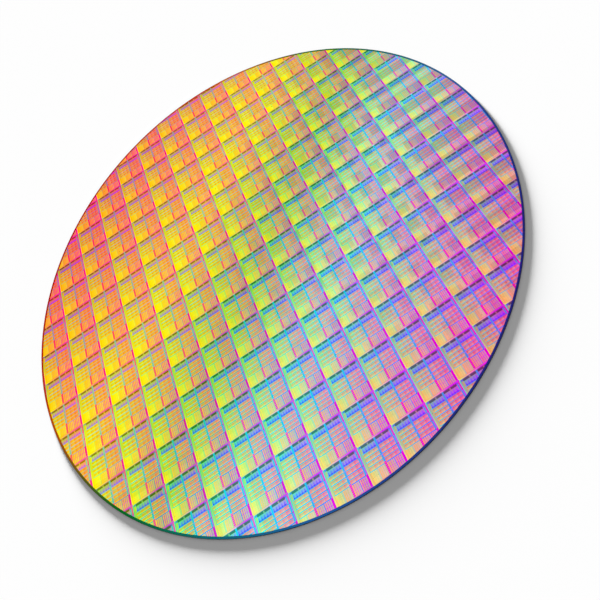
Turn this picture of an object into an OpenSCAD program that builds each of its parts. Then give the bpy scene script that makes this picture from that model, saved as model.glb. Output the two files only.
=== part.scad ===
// Silicon wafer: one thin round disc, polished flat on both faces, with an
// upright side wall and small rounded corners all the way round. It lies flat
// on its back face.
// Origin: centre of the back face. +Z points up, out of the patterned face.

/* [Disc] */

// Outside diameter, measured over the side wall
wafer_d = 300; // [100:1:450]
// Thickness between the two flat faces
wafer_t = 0.775; // [0.65:0.005:0.95]

/* [Edge] */

// Radius of the rounded corner between the front face and the side wall
front_corner_r = 0.15; // [0.05:0.01:0.3]
// Radius of the rounded corner between the back face and the side wall
back_corner_r = 0.15; // [0.05:0.01:0.3]

/* [Hidden] */

$fn = 96;

wafer_r = wafer_d / 2;

// How far in from the side wall the edge section reaches into the plate
edge_depth = 4;

// Section of one rounded corner: a circle that fills the corner of the side
// wall and a flat face at the given height
module corner_section(corner_r, height) {
    translate([wafer_r - corner_r, height])
        circle(r = corner_r);
}

// Section of the disc's edge, from inside the plate out to the side wall
module edge_section() {
    polygon([
        [wafer_r - edge_depth, 0],
        [wafer_r - back_corner_r, 0],
        [wafer_r - back_corner_r, back_corner_r],
        [wafer_r, back_corner_r],
        [wafer_r, wafer_t - front_corner_r],
        [wafer_r - front_corner_r, wafer_t - front_corner_r],
        [wafer_r - front_corner_r, wafer_t],
        [wafer_r - edge_depth, wafer_t]
    ]);
    corner_section(back_corner_r, back_corner_r);
    corner_section(front_corner_r, wafer_t - front_corner_r);
}

// Section of the plate between its two flat faces
module plate_section() {
    square([wafer_r - edge_depth / 2, wafer_t]);
}

// The disc, turned from its section about the Z axis
module wafer() {
    color([0.30, 0.31, 0.34])
        rotate_extrude() {
            plate_section();
            edge_section();
        }
}

wafer();
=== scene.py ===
"""Looks of the silicon wafer: one thin disc with a grid of dies on its front face.

Everything is in metres in the CAD frame: origin at the centre of the back face,
+X along the rows of dies, +Y towards the head of each die, +Z out of the front face.
Inside a die, u runs to the right and v runs down, both in hundredths of the die pitch.
In the materials of the front face, places are in whole pitches from the dies' centre.
"""
import math

import bpy
import numpy as np
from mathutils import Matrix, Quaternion, Vector


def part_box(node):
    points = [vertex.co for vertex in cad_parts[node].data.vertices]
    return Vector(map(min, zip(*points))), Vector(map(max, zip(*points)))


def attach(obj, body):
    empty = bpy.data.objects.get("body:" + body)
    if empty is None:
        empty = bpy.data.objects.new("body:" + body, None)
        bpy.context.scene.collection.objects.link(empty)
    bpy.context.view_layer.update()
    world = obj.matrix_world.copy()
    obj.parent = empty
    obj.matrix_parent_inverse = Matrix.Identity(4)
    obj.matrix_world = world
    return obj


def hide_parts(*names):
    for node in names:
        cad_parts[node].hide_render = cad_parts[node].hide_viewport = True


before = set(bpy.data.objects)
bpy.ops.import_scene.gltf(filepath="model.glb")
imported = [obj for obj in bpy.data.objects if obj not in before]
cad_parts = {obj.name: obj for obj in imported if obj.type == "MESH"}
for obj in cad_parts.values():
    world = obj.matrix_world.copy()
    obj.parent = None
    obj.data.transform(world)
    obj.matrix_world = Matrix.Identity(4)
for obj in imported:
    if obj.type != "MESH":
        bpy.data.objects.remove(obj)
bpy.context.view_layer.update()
LOW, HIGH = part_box("wafer")

RADIUS = min(HIGH.x, HIGH.y, -LOW.x, -LOW.y)  # outside of the disc, inside its CAD box
THICK = HIGH.z                     # its thickness
CORNER = 0.00015                   # radius of the rounded corners of its edge
PITCH = 0.01861                    # size of one die with its scribe line
PRINT_X = 0.0008                   # how far the dies' centre is to the right of the disc's
FIELD = RADIUS - 0.00127           # radius of the printed field
FIELD_Y = -0.0001                  # how far its centre is from the disc's
RECESS = 0.00005                   # how far the body lies under the printed skin
SEGMENTS = 360                     # facets around the disc
CORNER_STEPS = 5                   # facets over each rounded corner
DIES = 8                           # dies from the dies' centre to the side of the print
BLOCK = 4                          # dies along one side of a printed block
UV_MARGIN = 0.01                   # bare strip around the unwrapped faces


# ---------------------------------------------------------------- camera, floor, light

def make_camera():
    """Looks down on the disc at the photograph's angle, turned about its own axis.

    Its values fit the disc's outline and the grid of dies to the photograph.
    """
    data = bpy.data.cameras.new("camera")
    camera = bpy.data.objects.new("camera", data)
    bpy.context.scene.collection.objects.link(camera)
    place = Vector((0.07493, -0.23086, 0.2854))
    target = Vector((0.08587, -0.02076, 0.0008))
    roll = math.radians(-30.46)
    aim = (target - place).to_track_quat("-Z", "Y")
    camera.location = place
    camera.rotation_mode = "QUATERNION"
    camera.rotation_quaternion = aim @ Quaternion((0, 0, 1), roll)
    data.sensor_width = 36
    data.lens = 37.59
    data.shift_x, data.shift_y = -0.175, -0.1883
    data.clip_start, data.clip_end = 0.005, 50
    bpy.context.scene.camera = camera


def new_material(name):
    """A node material and its Principled shader."""
    material = bpy.data.materials.new(name)
    material.use_nodes = True
    return material, material.node_tree.nodes["Principled BSDF"]


def seen_directly(tree):
    """1 where the camera, a reflection or a transmitted ray looks, 0 for diffuse light."""
    path = tree.nodes.new("ShaderNodeLightPath")
    first = math_node(tree, "MAXIMUM", path.outputs["Is Camera Ray"], path.outputs["Is Glossy Ray"])
    return math_node(tree, "MAXIMUM", first, path.outputs["Is Transmission Ray"])


def make_world(strength):
    """White to look at, and softer as a light."""
    world = bpy.data.worlds.new("studio")
    bpy.context.scene.world = world
    world.use_nodes = True
    tree = world.node_tree
    back = tree.nodes["Background"]
    back.inputs["Color"].default_value = (1, 1, 1, 1)
    level = tree.nodes.new("ShaderNodeMapRange")
    level.inputs["To Min"].default_value = strength
    level.inputs["To Max"].default_value = 1
    tree.links.new(seen_directly(tree), level.inputs["Value"])
    tree.links.new(level.outputs["Result"], back.inputs["Strength"])


def make_floor(side, drop):
    """A square pale floor, `drop` under the disc so that the two faces don't coincide."""
    material, shader = new_material("floor")
    shader.inputs["Base Color"].default_value = (0.99, 0.99, 0.99, 1)
    shader.inputs["Roughness"].default_value = 0.9
    shader.inputs["Specular IOR Level"].default_value = 0
    mesh = bpy.data.meshes.new("floor")
    half = side / 2
    mesh.from_pydata([(-half, -half, 0), (half, -half, 0), (half, half, 0), (-half, half, 0)],
                     [], [(0, 1, 2, 3)])
    mesh.materials.append(material)
    floor = bpy.data.objects.new("floor", mesh)
    floor.location.z = -drop
    bpy.context.scene.collection.objects.link(floor)


def make_lamp(name, azimuth, elevation, spread, level):
    """A soft distant lamp that adds `level` to how bright a level face looks.

    All its angles are in degrees, and `spread` is how wide the lamp looks.
    """
    a, e = math.radians(azimuth), math.radians(elevation)
    data = bpy.data.lights.new(name, "SUN")
    data.angle = math.radians(spread)
    data.energy = math.pi * level / math.sin(e)
    lamp = bpy.data.objects.new(name, data)
    way = Vector((math.cos(a) * math.cos(e), math.sin(a) * math.cos(e), math.sin(e)))
    lamp.rotation_mode = "QUATERNION"
    lamp.rotation_quaternion = way.to_track_quat("Z", "Y")
    lamp.visible_glossy = False
    bpy.context.scene.collection.objects.link(lamp)


# ---------------------------------------------------------------- node helpers

def math_node(tree, kind, a, b=None, c=None):
    """One Math node. Inputs are sockets or numbers."""
    node = tree.nodes.new("ShaderNodeMath")
    node.operation = kind
    for i, value in enumerate((a, b, c)):
        if value is None:
            continue
        if isinstance(value, (int, float)):
            node.inputs[i].default_value = value
        else:
            tree.links.new(value, node.inputs[i])
    return node.outputs[0]


def vector_node(tree, kind, a, b, c=None):
    """One Vector Math node. Inputs are sockets or triples."""
    node = tree.nodes.new("ShaderNodeVectorMath")
    node.operation = kind
    for i, value in enumerate((a, b, c)):
        if value is None:
            continue
        if isinstance(value, tuple):
            node.inputs[i].default_value = value
        else:
            tree.links.new(value, node.inputs[i])
    return node.outputs[0]


def noise_node(tree, place, size, detail=2):
    """Noise about `size` metres across, from 0 to 1."""
    noise = tree.nodes.new("ShaderNodeTexNoise")
    noise.inputs["Scale"].default_value = 1 / size
    noise.inputs["Detail"].default_value = detail
    tree.links.new(place, noise.inputs["Vector"])
    return noise.outputs["Fac"]


def vary_node(tree, place, size, low, high, detail=2):
    """The same noise, from `low` to `high`."""
    return math_node(tree, "MULTIPLY_ADD", noise_node(tree, place, size, detail), high - low, low)


# ---------------------------------------------------------------- colour of the print

# Painted diffraction colours: the rainbow that the grid of dies splits the light into,
# fixed on the face, not changing with the view. Along the diagonal, from the head corner
# on the left to the foot corner on the right, each colour channel of the print moves
# between its low and its high value: (place in pitches, share of red, green, blue).
DIFFRACTION_SWEEP = [(-8, .9, 0, .1), (-3, 1, 1, 0), (-2, .75, .95, .1), (-1, .4, .9, .2),
         (0, .05, .85, .3), (1, 0, .9, .55), (2, 0, 1, .85), (3, 0, 1, 1),
         (5.5, .3, .5, .95), (8, .55, 0, .85)]

# The same painted diffraction colours for the plain rim round the print, as its own colours.
RIM_DIFFRACTION_SWEEP = [(-8, .65, 0, 0), (-6, .7, .2, .05), (-4.5, .7, .3, .05), (-3, .45, .35, .1),
       (-1, .05, .4, .15), (2, .1, .4, .45), (4.5, .15, .35, .6), (8, .15, .15, .45)]

# A soft grid of bars over the whole face, with dimmer panes between them, in pitches.
GRID_STEP = 0.6535                   # from one bar to the next
GRID_BAR = 0.29                      # width of a bar
GRID_ACROSS, GRID_DOWN = 0.57, 0.1   # middle of bar 0 of each set
BARS_ACROSS, BARS_DOWN = (-9, 7), (-8, 8)  # first and last bar of each set
PANE_LEVEL = 0.945                   # how bright a pane in the middle of the face is
PANE_LEAN = -0.0105                  # added for each pitch to the right
PANE_MIDDLE = -0.5                   # where the panes are dimmest, in pitches downwards
PANE_BEND = 0.0013                   # added for the square of the pitches from there


def sweep_node(tree, x, y, stops):
    """The painted diffraction colour that these stops give at this place on the face, x and y in
    pitches.
    """
    along = math_node(tree, "MULTIPLY", math_node(tree, "SUBTRACT", x, y), 1 / math.sqrt(2))
    ramp = tree.nodes.new("ShaderNodeValToRGB")
    marks = ramp.color_ramp.elements
    while len(marks) < len(stops):
        marks.new(1)
    for mark, (place, red, green, blue) in zip(marks, stops):
        mark.position = (place + DIES) / (2 * DIES)
        mark.color = (red, green, blue, 1)
    tree.links.new(math_node(tree, "MULTIPLY_ADD", along, 1 / (2 * DIES), 0.5),
                   ramp.inputs["Fac"])
    return ramp.outputs["Color"]


def bar_node(tree, place, start, bars):
    """1 on one of the evenly spaced bars, 0 off them. `start` is the middle of bar 0."""
    first, last = bars
    phase = math_node(tree, "MULTIPLY_ADD", place, 1 / GRID_STEP, -start / GRID_STEP)
    near = math_node(tree, "ABSOLUTE", math_node(
        tree, "SUBTRACT", phase, math_node(tree, "ROUND", phase)))
    half = GRID_BAR / GRID_STEP / 2
    on = math_node(tree, "LESS_THAN", near, half)
    after = math_node(tree, "GREATER_THAN", phase, first - 0.5)
    before = math_node(tree, "LESS_THAN", phase, last + 0.5)
    return math_node(tree, "MULTIPLY", on, math_node(tree, "MULTIPLY", after, before))


def pane_node(tree, across, down):
    """How bright the face is here: 1 on the grid's bars, and a little off 1 in its panes."""
    on = math_node(tree, "MAXIMUM", bar_node(tree, across, GRID_ACROSS, BARS_ACROSS),
                   bar_node(tree, down, GRID_DOWN, BARS_DOWN))
    away = math_node(tree, "ABSOLUTE", math_node(tree, "SUBTRACT", down, PANE_MIDDLE))
    bend = math_node(tree, "MULTIPLY", math_node(tree, "POWER", away, 2), PANE_BEND)
    lean = math_node(tree, "MULTIPLY_ADD", across, PANE_LEAN, PANE_LEVEL)
    pane = math_node(tree, "ADD", lean, bend)
    gap = math_node(tree, "SUBTRACT", 1, pane)
    return math_node(tree, "MULTIPLY_ADD", gap, on, pane)


def place_nodes(tree):
    """The place on the piece in metres, and its x and y from the dies' centre in pitches."""
    spot = tree.nodes.new("ShaderNodeTexCoord").outputs["Object"]
    split = tree.nodes.new("ShaderNodeSeparateXYZ")
    tree.links.new(spot, split.inputs[0])
    x = math_node(tree, "MULTIPLY_ADD", split.outputs["X"], 1 / PITCH, -PRINT_X / PITCH)
    y = math_node(tree, "MULTIPLY", split.outputs["Y"], 1 / PITCH)
    return spot, x, y


def paint(tree, colour, shade, shader):
    """Scales a colour by a shade, and hands it to the shader as a linear colour."""
    lit = tree.nodes.new("ShaderNodeVectorMath")
    lit.operation = "SCALE"
    tree.links.new(colour, lit.inputs[0])
    tree.links.new(shade, lit.inputs["Scale"])
    low = vector_node(tree, "MAXIMUM", lit.outputs[0], (0, 0, 0))
    gamma = tree.nodes.new("ShaderNodeGamma")
    gamma.inputs["Gamma"].default_value = 2.2
    tree.links.new(vector_node(tree, "MINIMUM", low, (1, 1, 1)), gamma.inputs["Color"])
    tree.links.new(gamma.outputs["Color"], shader.inputs["Base Color"])


def add_bump(tree, shader, height, strength, depth):
    """Dents the surface by a height from 0 to 1, `depth` metres deep."""
    bump = tree.nodes.new("ShaderNodeBump")
    bump.inputs["Strength"].default_value = strength
    bump.inputs["Distance"].default_value = depth
    tree.links.new(height, bump.inputs["Height"])
    tree.links.new(bump.outputs["Normal"], shader.inputs["Normal"])


def print_material():
    """The printed skin: two colours per shape, mixed by the painted diffraction sweep, with fine
    grain.
    """
    material, shader = new_material("printed_silicon")
    tree = material.node_tree
    spot, x, y = place_nodes(tree)
    low, high = (tree.nodes.new("ShaderNodeAttribute") for _ in range(2))
    low.attribute_name, high.attribute_name = "low", "high"
    span = vector_node(tree, "SUBTRACT", high.outputs["Color"], low.outputs["Color"])
    # painted diffraction colours: how far each channel lies between the low and the high colour
    # here
    share = sweep_node(tree, x, y, DIFFRACTION_SWEEP)
    mixed = vector_node(tree, "MULTIPLY_ADD", span, share, low.outputs["Color"])
    grain = vary_node(tree, spot, 0.00035, 0.92, 1.08)
    panes = pane_node(tree, x, math_node(tree, "MULTIPLY", y, -1))
    paint(tree, mixed, math_node(tree, "MULTIPLY", panes, grain), shader)
    shader.inputs["Metallic"].default_value = 0.4
    shader.inputs["Specular IOR Level"].default_value = 0
    tree.links.new(vary_node(tree, spot, 0.0012, 0.24, 0.36), shader.inputs["Roughness"])
    add_bump(tree, shader, noise_node(tree, spot, 0.00012), strength=0.15, depth=0.000002)
    return material


def rim_material():
    """The plain rim round the print: dark, with a painted diffraction tint that follows the sweep.
    """
    material, shader = new_material("plain_rim")
    tree = material.node_tree
    spot, x, y = place_nodes(tree)
    grain = vary_node(tree, spot, 0.0008, 0.9, 1.1, detail=3)
    # painted diffraction tint of the rim, dimmed by its grain
    paint(tree, sweep_node(tree, x, y, RIM_DIFFRACTION_SWEEP), grain, shader)
    shader.inputs["Specular IOR Level"].default_value = 0
    tree.links.new(vary_node(tree, spot, 0.0005, 0.35, 0.55), shader.inputs["Roughness"])
    add_bump(tree, shader, noise_node(tree, spot, 0.0001), strength=0.1, depth=0.000002)
    return material


def silicon_material(name, dark, pale, size):
    """Bare silicon, mottled between two bluish greys in patches about `size` across."""
    material, shader = new_material(name)
    tree = material.node_tree
    spot = tree.nodes.new("ShaderNodeTexCoord").outputs["Object"]
    tone = tree.nodes.new("ShaderNodeValToRGB")
    for mark, place, level in zip(tone.color_ramp.elements, (0.3, 0.7), (dark, pale)):
        mark.position = place
        mark.color = (0.9 * level, 0.95 * level, 1.1 * level, 1)
    tree.links.new(noise_node(tree, spot, size, detail=4), tone.inputs["Fac"])
    tree.links.new(tone.outputs["Color"], shader.inputs["Base Color"])
    shader.inputs["Metallic"].default_value = 0.3
    shader.inputs["Specular IOR Level"].default_value = 0
    tree.links.new(vary_node(tree, spot, 0.0006, 0.3, 0.5, detail=3), shader.inputs["Roughness"])
    add_bump(tree, shader, noise_node(tree, spot, 0.0003, detail=3), strength=0.2, depth=0.000004)
    return material


# ---------------------------------------------------------------- layout of one die

FULL = 255                           # a full channel of the colours below
HALF = 50                            # half a die

# Colours of the print, low and high: the painted diffraction sweep mixes the two. A value over
# FULL stays full where the panes and the grain dim the colour.
INK = {
    "scribe head": ((0, 200, 90), (120, 240, 210)),
    "scribe middle": ((110, 200, 40), (220, 250, 170)),
    "scribe foot": ((240, 200, 0), (260, 250, 110)),
    "street left": ((200, 230, 0), (260, 270, 120)),
    "street middle": ((230, 110, 90), (290, 210, 210)),
    "street right": ((210, 0, 170), (260, 60, 260)),
    "sill left": ((250, 140, 0), (260, 220, 120)),
    "sill right": ((170, 70, 60), (260, 160, 180)),
    "post head": ((140, 110, 30), (230, 220, 160)),
    "post foot": ((220, 150, 0), (260, 230, 140)),
    "green": ((110, 170, 40), (220, 240, 160)),
    "lime": ((140, 150, 10), (230, 240, 140)),
    "mint": ((0, 170, 120), (160, 240, 240)),
    "line": ((30, 120, 140), (140, 210, 240)),
    "line side": ((70, 80, 170), (200, 180, 260)),
    "line bright": ((0, 120, 170), (120, 220, 250)),
    "line break": ((120, 90, 150), (220, 180, 260)),
    "base right": ((20, 90, 150), (200, 170, 260)),
    "crimson": ((230, 20, 80), (260, 100, 160)),
    "mauve": ((220, 30, 100), (260, 120, 240)),
    "red": ((180, 50, 80), (270, 140, 170)),
    "pink": ((220, 20, 120), (230, 90, 230)),
    "orchid": ((170, 60, 140), (240, 120, 240)),
    "magenta": ((210, 0, 130), (260, 50, 220)),
    "rust": ((130, 60, 90), (240, 130, 170)),
    "indigo": ((40, 50, 170), (150, 140, 240)),
    "cell left": ((160, 140, 20), (240, 210, 170)),
    "cell right": ((200, 80, 60), (260, 150, 200)),
    "amber": ((240, 140, 10), (260, 220, 100)),
    "moss": ((160, 160, 50), (250, 230, 160)),
    "gold": ((210, 180, 20), (260, 240, 140)),
    "sand": ((210, 140, 50), (260, 210, 180)),
    "rose": ((200, 70, 90), (260, 150, 210)),
    "plum": ((190, 40, 120), (260, 110, 230)),
    "wall left": ((160, 140, 60), (240, 230, 200)),
    "wall right": ((130, 40, 130), (240, 120, 260)),
}

# Films that run across the whole die, as they are at its middle. To the right they turn
# redder and less green. LEAN is by what share over half a die, for low and for high.
FILM = {
    "pad": ((80, 60, 130), (180, 150, 240)),
    "hairline": ((80, 50, 100), (230, 120, 180)),
    "strip": ((60, 50, 0), (160, 130, 120)),
    "strip gap": ((130, 90, 40), (220, 180, 150)),
    "comb head": ((130, 110, 70), (220, 200, 200)),
    "comb foot": ((120, 90, 110), (220, 180, 240)),
    "tooth tip": ((110, 90, 90), (210, 180, 240)),
    "tooth": ((100, 60, 160), (220, 140, 260)),
    "tooth root": ((70, 30, 230), (180, 90, 260)),
    "root": ((90, 50, 180), (200, 130, 260)),
    "rail": ((50, 100, 180), (170, 190, 240)),
    "teal": ((50, 130, 110), (210, 210, 230)),
    "cyan": ((0, 120, 160), (190, 210, 260)),
}
LEAN = (0.4, -0.4, 0.05), (0.15, -0.2, 0.05)

# What the bands and the ends of a cell add to its colour, low and high.
CELL_PART = {
    "top": ((40, -20, 0), (-10, 0, -60)),
    "core": ((0, 0, 0), (0, 0, 0)),
    "foot": ((60, 10, -40), (40, 20, -50)),
    "head": ((20, -10, -10), (0, -10, -20)),
    "end": ((-30, 30, 10), (0, 20, 10)),
}


def ink(name, u=HALF):
    """A colour of the print as one row: low red, green, blue, high red, green, blue.

    `u` is the place across the die. A film leans with it, and the others don't.
    """
    if name in FILM:
        lean = 1 + np.array(LEAN) * (u - HALF) / HALF
        return (np.array(FILM[name]) * lean).ravel() / FULL
    return np.array(INK[name]).ravel() / FULL


def blend_ink(a, b, share):
    """Colour a where `share` is 0, and colour b where it is 1."""
    return a + (b - a) * share


def tint(colour, low, high=None):
    """A colour with red, green and blue added to its low and its high."""
    return colour + np.array(low + (high or low)) / FULL


def patch(u0, u1, v0, v1, left, right=None, foot=None):
    """One printed shape, with a colour at its left, its right, and if need be its foot.

    A colour is the name of an ink or film, or a row from ink().
    """
    places = (left, u0), (left if right is None else right, u1), (foot, u0)
    return (u0, u1, v0, v1, *(ink(c, u) if isinstance(c, str) else c for c, u in places))


def row(v0, v1, start, *steps):
    """Shapes side by side from u = start: each step is (u where it ends, colour...)."""
    shapes = []
    for end, *colours in steps:
        shapes.append(patch(start, end, v0, v1, *colours))
        start = end
    return shapes


# Lines that several parts of a die share.
EDGE, END = 1.5, 98.5                # where its scribe lines stop, across and down alike
POST, PADS = 4, 8                    # right sides of the post and of the pads on the left
WALL = 6.5                           # right side of the wall between them and the cells
SPINE = 45.5, 51                     # sides of the line down the middle
LADDER = 45, 51.6                    # sides of the ladder at its foot
TIP = 88                             # right side of the head strip and of the combs
BARS, COLUMN = 90.5, 91.7            # left sides of the bars and the column on the right
COMBS, RAILS = 8.8, 22               # heads of the combs and of the rails under them
ROWS = (24.3, 32.4), (35.4, 44), (47, 55.5), (58.5, 67.2)  # head and foot of each row of cells
CELLS, BASE = ROWS[0][0], ROWS[-1][1]                      # head and foot of all the cells
UPPER, MIDDLE, LOWER = ((above[1], below[0]) for above, below in zip(ROWS, ROWS[1:]))
FOOT, SILL = 70, 97                  # heads of the striped blocks and of the sill under them
SPLIT = 82.6, 84.4                   # head and foot of the level line across the blocks
LINES = 65                           # foot of the bright lines down the middle and the right


def streets():
    """The scribe lines around the die, shared with its neighbours."""
    shapes = []
    for v0, v1 in ((0, EDGE), (END, 100)):
        shapes += row(v0, v1, 0, (EDGE, "street left"), (40, "street left", "street middle"),
                      (80, "street middle", "street right"), (100, "street right"))
    for u0, u1 in ((0, EDGE), (END, 100)):
        shapes += [patch(u0, u1, EDGE, HALF, "scribe head", None, "scribe middle"),
                   patch(u0, u1, HALF, 80, "scribe middle", None, "scribe foot"),
                   patch(u0, u1, 80, END, "scribe foot")]
    return shapes + row(SILL, END, EDGE, (70, "sill left", "sill right"), (END, "sill right"))


def left_side():
    """The post, the pads and the wall along the left edge."""
    head, middle = 7.5, 21.5
    shapes = row(EDGE, head, EDGE, (2.3, "post head"), (PADS, "pad"))
    shapes += [patch(EDGE, POST, head, SILL, "post head", None, "post foot"),
               patch(POST, PADS, head, middle, "lime"), patch(POST, PADS, middle, CELLS, "mint")]
    for v0, v1 in ((CELLS, MIDDLE[0]), (MIDDLE[1], BASE)):
        shapes += row(v0, v1, POST, (WALL, "green"))
    return shapes


def head_strip():
    """The dark strip of four lengths under the top street."""
    left, right, head = SPINE[0], 50.5, 3.1
    shapes = row(EDGE, head, PADS, (left, "hairline"), (right, "line"), (TIP, "hairline"))
    return shapes + row(head, COMBS, PADS, (25.5, "strip"), (29.3, "strip gap"), (left, "strip"),
                        (right, "line"), (67.5, "strip"), (71.5, "strip gap"), (TIP, "strip"))


def comb(start, end, first, step):
    """Five teeth that widen towards a deep blue root, over a pale rail.

    `first` is the middle of the first tooth, and the next ones are `step` apart.
    """
    # Head and foot of each level, width of its teeth, and the colours between and on them.
    levels = [(COMBS, 13, 2.2, "comb head", "tooth tip"), (13, 17.3, 3, "comb foot", "tooth"),
              (17.3, 19, 3.6, "comb foot", "tooth"), (19, RAILS, 4.4, "root", "tooth root")]
    shapes = []
    for v0, v1, width, ground, tooth in levels:
        steps = []
        for k in range(5):
            middle = first + k * step
            # A wide first tooth still leaves a sliver of ground at its left.
            left = max(middle - width / 2, start + 0.1)
            steps += [(left, ground), (middle + width / 2, tooth)]
        shapes += row(v0, v1, start, *steps, (end, ground))
    return shapes + [patch(start, end, RAILS, CELLS, "rail")]


def cells():
    """Four rows of six cells. Each cell has three bands, and its head is at the left.

    From the first row to the last, the left cells turn redder and the right ones less red.
    """
    shapes = []
    columns = (WALL, 19.5, 33, SPINE[0]), (SPINE[1], 64.5, 78, BARS)
    bands = (0, 0.33, "top"), (0.33, 0.64, "core"), (0.64, 1, "foot")
    for line, (v0, v1) in enumerate(ROWS):
        for side, edges in enumerate(columns):
            for n in range(3):
                u0, u1 = edges[n], edges[n + 1]
                far = (side * 3 + n) / 5
                neck = u0 + (u1 - u0) * 0.3
                redder = (line - 1.5) * (7 - 10 * far)
                cell = tint(blend_ink(ink("cell left"), ink("cell right"), far), (redder, 0, 0))
                for above, below, band in bands:
                    body = tint(cell, *CELL_PART[band])
                    head, end = (tint(body, *CELL_PART[part]) for part in ("head", "end"))
                    shapes += row(v0 + (v1 - v0) * above, v0 + (v1 - v0) * below, u0,
                                  (neck, head), (u1, body, end))
    return shapes


def rails():
    """The bright lines between the rows of cells, and the one under them."""
    left, right = SPINE
    shapes = []
    for v0, v1 in (UPPER, LOWER):
        shapes += row(v0, v1, WALL, (PADS, "lime"), (left, "teal"))
        shapes += row(v0, v1, right, (87.5, "teal"), (BARS, "orchid"))
    shapes += row(*MIDDLE, POST, (PADS, "mint"), (left, "cyan"))
    shapes += row(*MIDDLE, right, (BARS, "cyan"))
    left, right = LADDER
    shapes += row(BASE, FOOT, POST, (left, "teal"))
    return shapes + row(BASE, FOOT, right, (BARS, "base right"))


def spine():
    """The line down the middle, with a ladder of crimson and mauve at its foot."""
    left, right = SPINE
    foot = 61.5
    breaks = (31.3, 33.8), (47.5, 50)
    shapes = []
    for v0, v1 in ((COMBS, breaks[0][0]), (breaks[0][1], breaks[1][0]), (breaks[1][1], foot)):
        shapes += row(v0, v1, left, (49.4, "line"), (right, "line side"))
    for v0, v1 in breaks:
        shapes += row(v0, v1, left, (right, "line break"))
    shapes += row(foot, LINES, left, (49.8, "line bright"), (right, "line side"))
    shapes += row(LINES, BASE, left, (right, "crimson"))
    left, right = LADDER
    rungs, tall = 7, 2
    step = (SILL - BASE - tall) / (rungs - 1)
    for k in range(rungs):
        top = BASE + k * step
        shapes += row(top, top + tall, left, (right, "mauve"))
        if k + 1 < rungs:
            shapes += row(top + tall, top + step, left, (right, "crimson"))
    return shapes


def right_side():
    """The bars and the long pink column along the right edge."""
    pad, bend, side, edge = 7, 42, 93.3, 95.3
    shapes = row(EDGE, pad, TIP, (93, "pad"), (95.7, "red"), (END, "pink"))
    shapes += row(pad, RAILS, TIP, (89.3, "comb head"), (92.3, "line"), (side, "line side"),
                  (95.7, "red"), (END, "pink"))
    shapes += row(RAILS, CELLS, TIP, (92.5, "rail"), (END, "magenta"))
    for v0, v1 in ((CELLS, bend), (MIDDLE[1], LINES)):
        shapes += row(v0, v1, BARS, (side, "line"), (edge, "line side"), (END, "orchid"))
    shapes += row(bend, MIDDLE[0], BARS, (edge, "line bright"), (END, "orchid"))
    shapes += row(*MIDDLE, BARS, (92.5, "cyan"), (edge, "rust"), (END, "magenta"))
    shapes += row(LINES, BASE, BARS, (edge, "line"), (END, "orchid"))
    shapes += row(BASE, FOOT, BARS, (93.5, "indigo"), (END, "magenta"))
    return shapes + row(FOOT, SILL, COLUMN, (END, "magenta"))


def stripes(start, end, gap, greener, redder, deeper=0, split_bars=0):
    """A block of four upright bars with gaps between, parted by one level line.

    The bars turn from amber to moss, both `greener` by some levels, and the gaps turn
    a little bluer. The line is a `deeper` pink than the gaps. It crosses them nearly in
    full, and the bars with a share of `split_bars`. Under it all is `redder`.
    """
    last = 6
    width = (end - start) / (last + 1)
    split = tint(ink(gap), (10 * deeper, -30 * deeper, 40 * deeper))
    shapes = []
    for n in range(last + 1):
        if n % 2 == 0:
            colour = tint(blend_ink(ink("amber"), ink("moss"), n / last), (0, greener, 0))
            share = split_bars
        else:
            colour = tint(ink(gap), (0, 0, 20 * (n / last - 0.5)))
            share = 0.9
        u0, u1 = start + n * width, start + (n + 1) * width
        shapes += [patch(u0, u1, FOOT, SPLIT[0], colour),
                   patch(u0, u1, *SPLIT, blend_ink(colour, split, share)),
                   patch(u0, u1, SPLIT[1], SILL, tint(colour, (redder, 0, 0)))]
    return shapes


def foot_blocks():
    """The four striped blocks at the foot of the die, and the walls between them."""
    left, right = LADDER
    shapes = stripes(POST, 23.2, "gold", greener=20, redder=12)
    shapes += row(FOOT, SILL, 23.2, (26, "wall left"))
    shapes += stripes(26, 44.4, "sand", greener=8, redder=7, deeper=0.6)
    shapes += row(FOOT, SILL, 44.4, (left, "moss"))
    shapes += stripes(right, 70.6, "rose", greener=4, redder=4, deeper=1, split_bars=0.3)
    shapes += row(FOOT, SILL, 70.6, (73.3, "wall right"))
    return shapes + stripes(73.3, COLUMN, "plum", greener=-12, redder=-3, deeper=1.2,
                            split_bars=0.45)


def die_layout():
    """Every shape of one die. Together they cover the die once."""
    left_comb = comb(PADS, SPINE[0], first=10.2, step=7.8)
    right_comb = comb(SPINE[1], TIP, first=52.6, step=7.65)
    return (streets() + left_side() + head_strip() + left_comb + right_comb + cells() + rails()
            + spine() + right_side() + foot_blocks())


# ---------------------------------------------------------------- meshes

def cut_line(points, nx, ny, reach):
    """The part of a convex outline within `reach` of the centre, measured along (nx, ny)."""
    kept = []
    for (ax, ay), (bx, by) in zip(points, points[1:] + points[:1]):
        a, b = ax * nx + ay * ny - reach, bx * nx + by * ny - reach
        if a <= 0:
            kept.append((ax, ay))
        if a * b < 0:
            t = a / (a - b)
            kept.append((ax + (bx - ax) * t, ay + (by - ay) * t))
    return kept


def cut_round(points):
    """A convex outline cut to the printed field, which has the body's facets.

    Only the facets that the outline may cross are tried.
    """
    step = 2 * math.pi / SEGMENTS
    reach = FIELD * math.cos(step / 2)
    places = [(x, y - FIELD_Y) for x, y in points]
    if max(math.hypot(x, y) for x, y in places) <= reach:
        return points
    middle = math.atan2(sum(y for x, y in places), sum(x for x, y in places))
    turns = [math.remainder(math.atan2(y, x) - middle, 2 * math.pi) for x, y in places]
    first = math.floor((middle + min(turns)) / step) - 1
    last = math.floor((middle + max(turns)) / step) + 1
    for k in range(first, last + 1):
        angle = (k + 0.5) * step
        places = cut_line(places, math.cos(angle), math.sin(angle), reach)
        if len(places) < 3:
            return []
    return [(x, y + FIELD_Y) for x, y in places]


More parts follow.
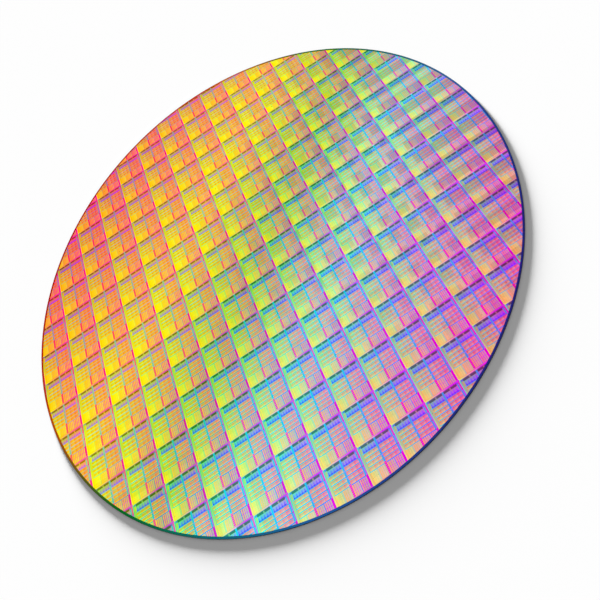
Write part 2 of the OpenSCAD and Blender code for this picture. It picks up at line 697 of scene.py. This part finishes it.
def add_colours(mesh, rows):
    """Stores the low and high colour of each point. Each row is as in ink()."""
    alpha = np.ones((len(rows), 1))
    for name, colour in (("low", rows[:, :3]), ("high", rows[:, 3:])):
        layer = mesh.attributes.new(name, "FLOAT_COLOR", "POINT")
        layer.data.foreach_set("color", np.hstack([colour, alpha]).astype(np.float32).ravel())


def unwrap(mesh, spots):
    """Stores a place on the bake's picture for each corner of each face."""
    mesh.uv_layers.new(name="OFBake").data.foreach_set(
        "uv", np.array(spots, np.float32).ravel())


def inset(place):
    """Moves a place from 0 to 1 inside the margin of the bake's picture."""
    return UV_MARGIN + (1 - 2 * UV_MARGIN) * place


def add_piece(name, mesh, materials):
    """Puts a mesh in the scene as a piece of the part."""
    for material in materials:
        mesh.materials.append(material)
    piece = bpy.data.objects.new(name, mesh)
    bpy.context.scene.collection.objects.link(piece)
    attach(piece, "root")
    return piece


def die_block(layout, first_column, first_line, material):
    """The printed skin of a block of dies, one face for each shape, cut to the field."""
    points, faces, colours = [], [], []
    # The dies sit a little to the right, so the first blocks hold a sliver of one more column.
    start = first_column - 1 if first_column == -DIES else first_column
    for column in range(start, first_column + BLOCK):
        for line in range(first_line, first_line + BLOCK):
            for u0, u1, v0, v1, left, right, foot in layout:
                x0, x1 = (PRINT_X + (column + u / 100) * PITCH for u in (u0, u1))
                y0, y1 = (-(line + v / 100) * PITCH for v in (v0, v1))
                outline = cut_round([(x0, y1), (x1, y1), (x1, y0), (x0, y0)])
                if len(outline) < 3:
                    continue
                faces.append(tuple(range(len(points), len(points) + len(outline))))
                for x, y in outline:
                    colour = blend_ink(left, right, (x - x0) / (x1 - x0))
                    if foot is not None:
                        colour = blend_ink(colour, foot, (y0 - y) / (y0 - y1))
                    points.append((x, y, THICK))
                    colours.append(colour)
    name = "dies_%d_%d" % ((first_column + DIES) // BLOCK, (first_line + DIES) // BLOCK)
    mesh = bpy.data.meshes.new(name)
    mesh.from_pydata(points, [], faces)
    add_colours(mesh, np.array(colours))
    flat = np.array(points)[:, :2]
    flat = (flat - flat.min(0)) / (flat.max(0) - flat.min(0)).max()
    corners = [n for face in faces for n in face]
    unwrap(mesh, inset(flat[corners]))
    add_piece(name, mesh, [material])


def edge_profile():
    """Section of the disc from its back, round its edge, to the front and the field.

    Each point is (radius, height, how far the middle of its ring is moved along Y).
    """
    inner = RADIUS - CORNER
    turns = [math.pi / 2 * n / CORNER_STEPS for n in range(CORNER_STEPS + 1)]
    back = [(inner + CORNER * math.sin(a), CORNER - CORNER * math.cos(a), 0) for a in turns]
    front = [(r, THICK - z, 0) for r, z, shift in reversed(back)]
    return back + front + [(FIELD, THICK, FIELD_Y), (FIELD, THICK - RECESS, FIELD_Y)]


def wafer_body(rim_look, edge_look, bare_look):
    """The disc itself, turned from its edge profile."""
    profile = edge_profile()
    count = len(profile)
    points, faces, looks, spots = [], [], [], []
    on_rim, on_edge, on_bare = range(3)
    for k in range(SEGMENTS):
        angle = 2 * math.pi * k / SEGMENTS
        for r, z, shift in profile:
            points.append((r * math.cos(angle), r * math.sin(angle) + shift, z))

    # The faces round the edge lie in strips over the lower half of the bake's picture.
    strips, strip_start, strip_height = 12, 0.05, 0.9
    per_strip = SEGMENTS // strips
    for k in range(SEGMENTS):
        here, there = k * count, (k + 1) % SEGMENTS * count
        strip, place = divmod(k, per_strip)
        u0, u1 = (inset((place + e) / per_strip) for e in (0, 1))
        for n in range(count - 1):
            faces.append((here + n, there + n, there + n + 1, here + n + 1))
            looks.append(on_edge if n <= 2 * CORNER_STEPS else on_rim)
            v0, v1 = ((strip + strip_start + strip_height * (n + e) / (count - 1)) / strips / 2
                      for e in (0, 1))
            spots += [(u0, v0), (u1, v0), (u1, v1), (u0, v1)]

    # The back and the flat under the print are two discs of this radius over its upper half.
    disc = 0.24
    for n, u, v, order in ((0, 0.25, 0.75, -1), (count - 1, 0.75, 0.75, 1)):
        cap = [k * count + n for k in range(SEGMENTS)][::order]
        faces.append(tuple(cap))
        looks.append(on_bare)
        spots += [(u + points[c][0] / RADIUS * disc, v + points[c][1] / RADIUS * disc)
                  for c in cap]

    mesh = bpy.data.meshes.new("wafer_body")
    mesh.from_pydata(points, [], faces)
    unwrap(mesh, spots)
    mesh.polygons.foreach_set("material_index", looks)
    mesh.polygons.foreach_set("use_smooth", [look == on_edge for look in looks])
    piece = add_piece("wafer_body", mesh, [rim_look, edge_look, bare_look])
    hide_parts("wafer")


# ---------------------------------------------------------------- the scene

make_camera()
bpy.context.scene.view_settings.view_transform = "Standard"
make_world(strength=0.3)
make_floor(side=16, drop=0.00002)
make_lamp("key", azimuth=97, elevation=4.5, spread=8.2, level=0.7)

wafer_body(rim_look=rim_material(),
           edge_look=silicon_material("ground_edge", dark=0.015, pale=0.03, size=0.001),
           bare_look=silicon_material("bare_silicon", dark=0.06, pale=0.09, size=0.004))
printed = print_material()
layout = die_layout()
for column in range(-DIES, DIES, BLOCK):
    for line in range(-DIES, DIES, BLOCK):
        die_block(layout, column, line, printed)
